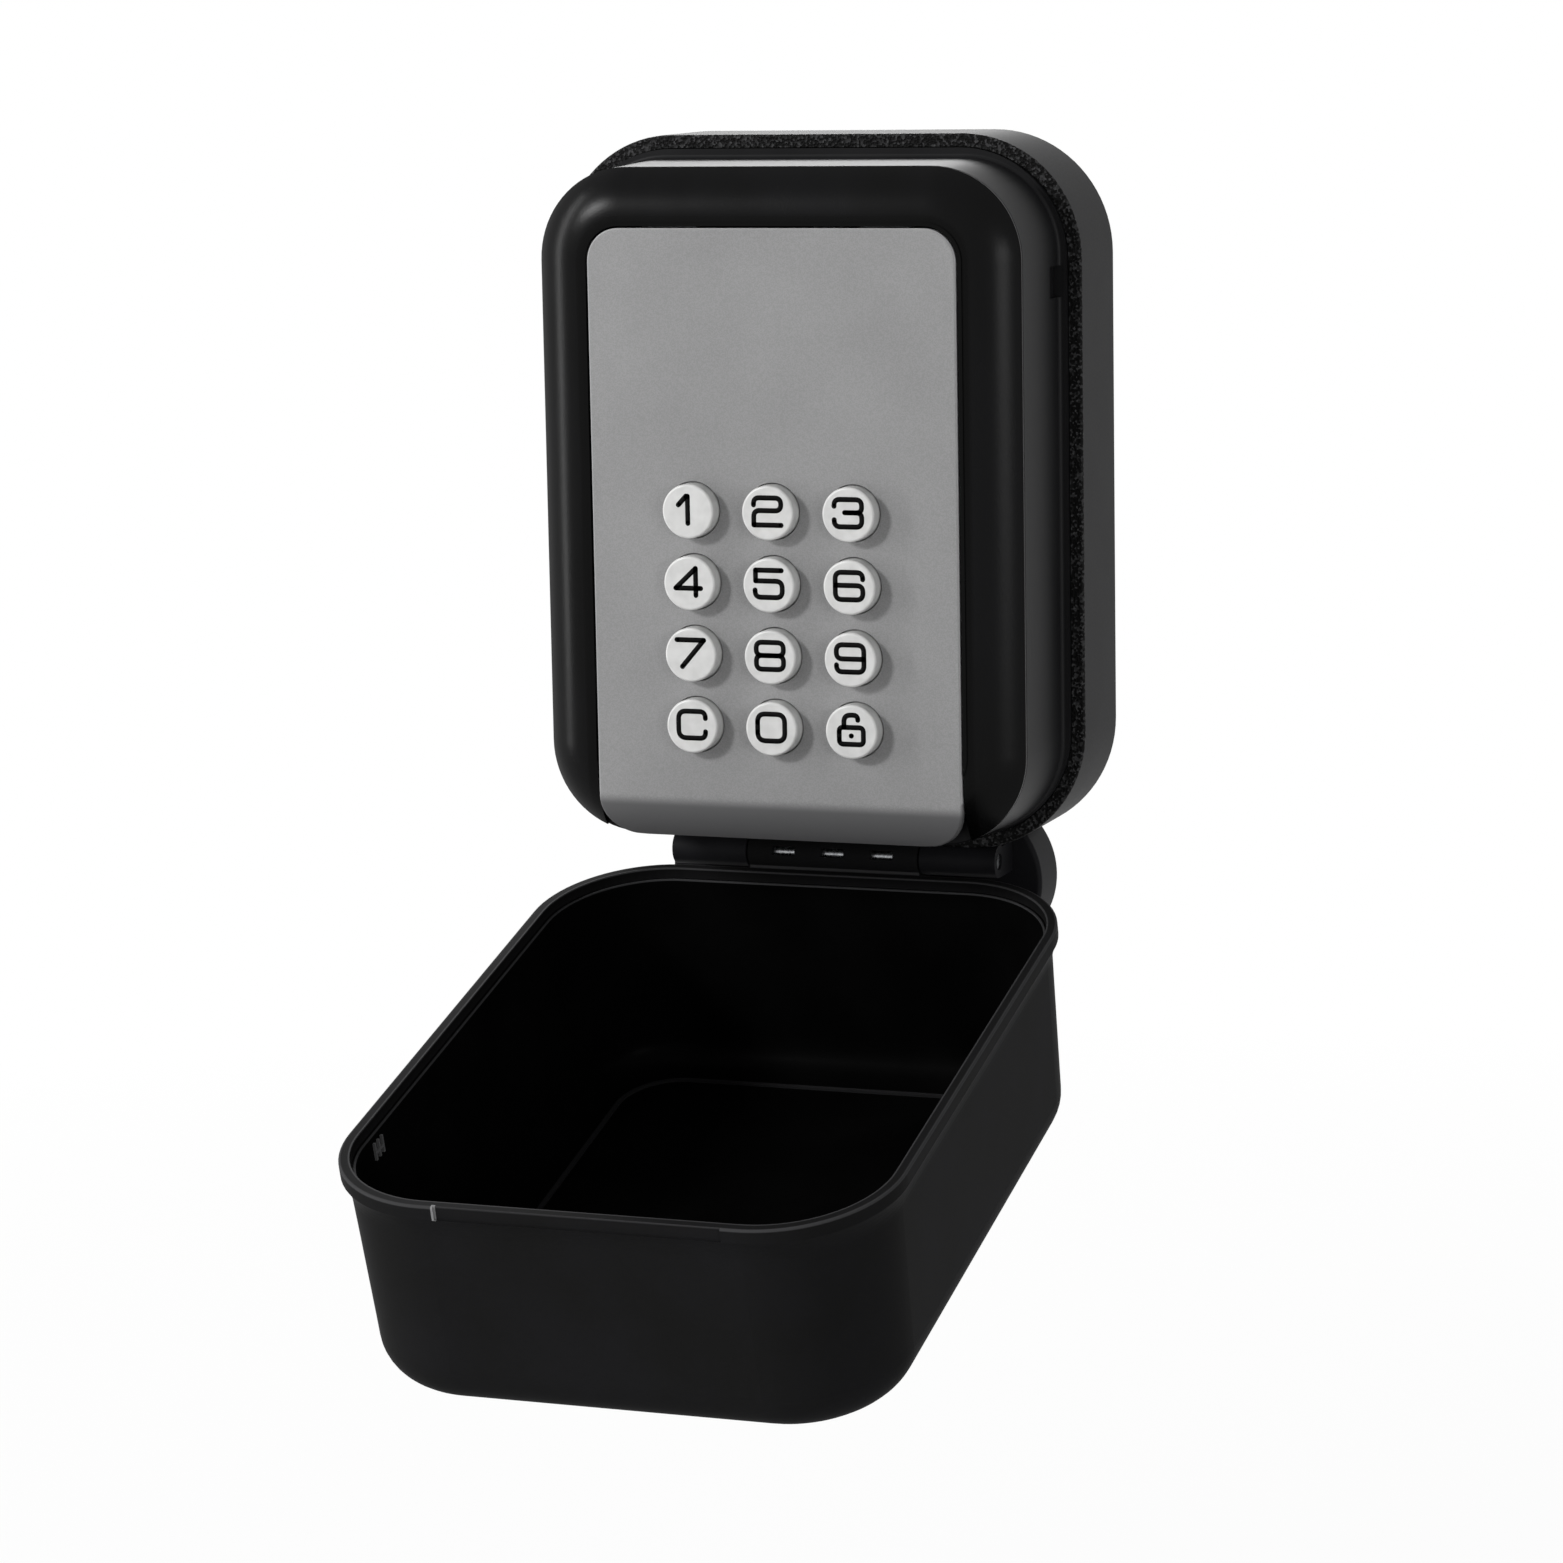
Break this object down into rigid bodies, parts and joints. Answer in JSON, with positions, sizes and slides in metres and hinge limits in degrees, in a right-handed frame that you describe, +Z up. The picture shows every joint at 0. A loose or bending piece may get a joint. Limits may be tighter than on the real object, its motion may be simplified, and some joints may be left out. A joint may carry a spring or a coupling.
{
  "type": "wall key safe",
  "caption": "Wall-mounted key safe: drafted lock body with push-button keypad door on a screwed rear case, and a deep weather cover hinged down below it.",
  "frame": {"origin": "centre of the wall case's flat rear face, which lies on the wall", "axes": "+Z up, +Y into the wall, -Y towards the user, +X to the user's right"},
  "size_m": [0.099, 0.1433, 0.2056],
  "materials": {
    "cast_case": "satin",
    "cast_body": "satin",
    "moulded_bezel": "satin",
    "satin_door": "satin",
    "moulded_cover": "satin",
    "cast_bracket": "satin",
    "pin_steel": "ground",
    "guide_plastic": "matte",
    "chassis_zinc": "as cast",
    "lock_steel": "zinc plated",
    "bolt_steel": "zinc plated",
    "screw_steel": "zinc plated",
    "spring_steel": "bright wire",
    "hook_steel": "zinc plated",
    "button_plastic": "satin"
  },
  "bodies": {
    "root": {"wall_case": "cast_case", "lock_body": "cast_body", "front_bezel": "moulded_bezel", "hinge_bracket": "cast_bracket", "hinge_pin": "pin_steel", "case_screws": "screw_steel", "bezel_screws": "screw_steel", "bracket_screws": "screw_steel", "key_hook": "hook_steel", "hook_screw": "screw_steel"},
    "door": {"door_plate": "satin_door", "button_guide": "guide_plastic", "lock_chassis": "chassis_zinc", "lock_back_cover": "lock_steel", "lock_screws": "screw_steel", "latch_spring": "spring_steel", "spring_1": "spring_steel", "spring_2": "spring_steel", "spring_3": "spring_steel", "spring_4": "spring_steel", "spring_5": "spring_steel", "spring_6": "spring_steel", "spring_7": "spring_steel", "spring_8": "spring_steel", "spring_9": "spring_steel", "spring_c": "spring_steel", "spring_0": "spring_steel", "spring_open": "spring_steel"},
    "cover": {"weather_cover": "moulded_cover"},
    "latch": {"lock_slide": "lock_steel", "latch_bolt": "bolt_steel", "latch_rivets": "screw_steel"},
    "reset": {"reset_bar": "lock_steel"},
    "key_1": {"button_1": "button_plastic"},
    "key_2": {"button_2": "button_plastic"},
    "key_3": {"button_3": "button_plastic"},
    "key_4": {"button_4": "button_plastic"},
    "key_5": {"button_5": "button_plastic"},
    "key_6": {"button_6": "button_plastic"},
    "key_7": {"button_7": "button_plastic"},
    "key_8": {"button_8": "button_plastic"},
    "key_9": {"button_9": "button_plastic"},
    "key_c": {"button_c": "button_plastic"},
    "key_0": {"button_0": "button_plastic"},
    "key_open": {"button_open": "button_plastic"}
  },
  "joints": [
    {"name": "cover_hinge", "type": "hinge", "parent": "root", "child": "cover", "pos_m": [0, -0.0178, -0.06685], "axis": [-1, 0, 0], "range_deg": [0, 105.7]},
    {"name": "door_hinge", "type": "hinge", "parent": "root", "child": "door", "pos_m": [0, -0.0445, 0.0483], "axis": [1, 0, 0], "range_deg": [-75, 0]},
    {"name": "latch_slide", "type": "slide", "parent": "door", "child": "latch", "axis": [0, 0, -1], "range_m": [0, 0.003], "deforming": ["latch_spring"]},
    {"name": "reset_press", "type": "slide", "parent": "door", "child": "reset", "axis": [0, 1, 0], "range_m": [0, 0.0024]},
    {"name": "key_1_press", "type": "slide", "parent": "door", "child": "key_1", "axis": [0, 1, 0], "range_m": [0, 0.0024], "stiffness_N_per_m": 300, "deforming": ["spring_1"]},
    {"name": "key_2_press", "type": "slide", "parent": "door", "child": "key_2", "axis": [0, 1, 0], "range_m": [0, 0.0024], "stiffness_N_per_m": 300, "deforming": ["spring_2"]},
    {"name": "key_3_press", "type": "slide", "parent": "door", "child": "key_3", "axis": [0, 1, 0], "range_m": [0, 0.0024], "stiffness_N_per_m": 300, "deforming": ["spring_3"]},
    {"name": "key_4_press", "type": "slide", "parent": "door", "child": "key_4", "axis": [0, 1, 0], "range_m": [0, 0.0024], "stiffness_N_per_m": 300, "deforming": ["spring_4"]},
    {"name": "key_5_press", "type": "slide", "parent": "door", "child": "key_5", "axis": [0, 1, 0], "range_m": [0, 0.0024], "stiffness_N_per_m": 300, "deforming": ["spring_5"]},
    {"name": "key_6_press", "type": "slide", "parent": "door", "child": "key_6", "axis": [0, 1, 0], "range_m": [0, 0.0024], "stiffness_N_per_m": 300, "deforming": ["spring_6"]},
    {"name": "key_7_press", "type": "slide", "parent": "door", "child": "key_7", "axis": [0, 1, 0], "range_m": [0, 0.0024], "stiffness_N_per_m": 300, "deforming": ["spring_7"]},
    {"name": "key_8_press", "type": "slide", "parent": "door", "child": "key_8", "axis": [0, 1, 0], "range_m": [0, 0.0024], "stiffness_N_per_m": 300, "deforming": ["spring_8"]},
    {"name": "key_9_press", "type": "slide", "parent": "door", "child": "key_9", "axis": [0, 1, 0], "range_m": [0, 0.0024], "stiffness_N_per_m": 300, "deforming": ["spring_9"]},
    {"name": "key_c_press", "type": "slide", "parent": "door", "child": "key_c", "axis": [0, 1, 0], "range_m": [0, 0.0024], "stiffness_N_per_m": 300, "deforming": ["spring_c"]},
    {"name": "key_0_press", "type": "slide", "parent": "door", "child": "key_0", "axis": [0, 1, 0], "range_m": [0, 0.0024], "stiffness_N_per_m": 300, "deforming": ["spring_0"]},
    {"name": "key_open_press", "type": "slide", "parent": "door", "child": "key_open", "axis": [0, 1, 0], "range_m": [0, 0.0024], "stiffness_N_per_m": 300, "deforming": ["spring_open"]}
  ],
  "couplings": [
    {"joint": "reset_press", "follows": "key_c_press", "ratio": 1}
  ]
}
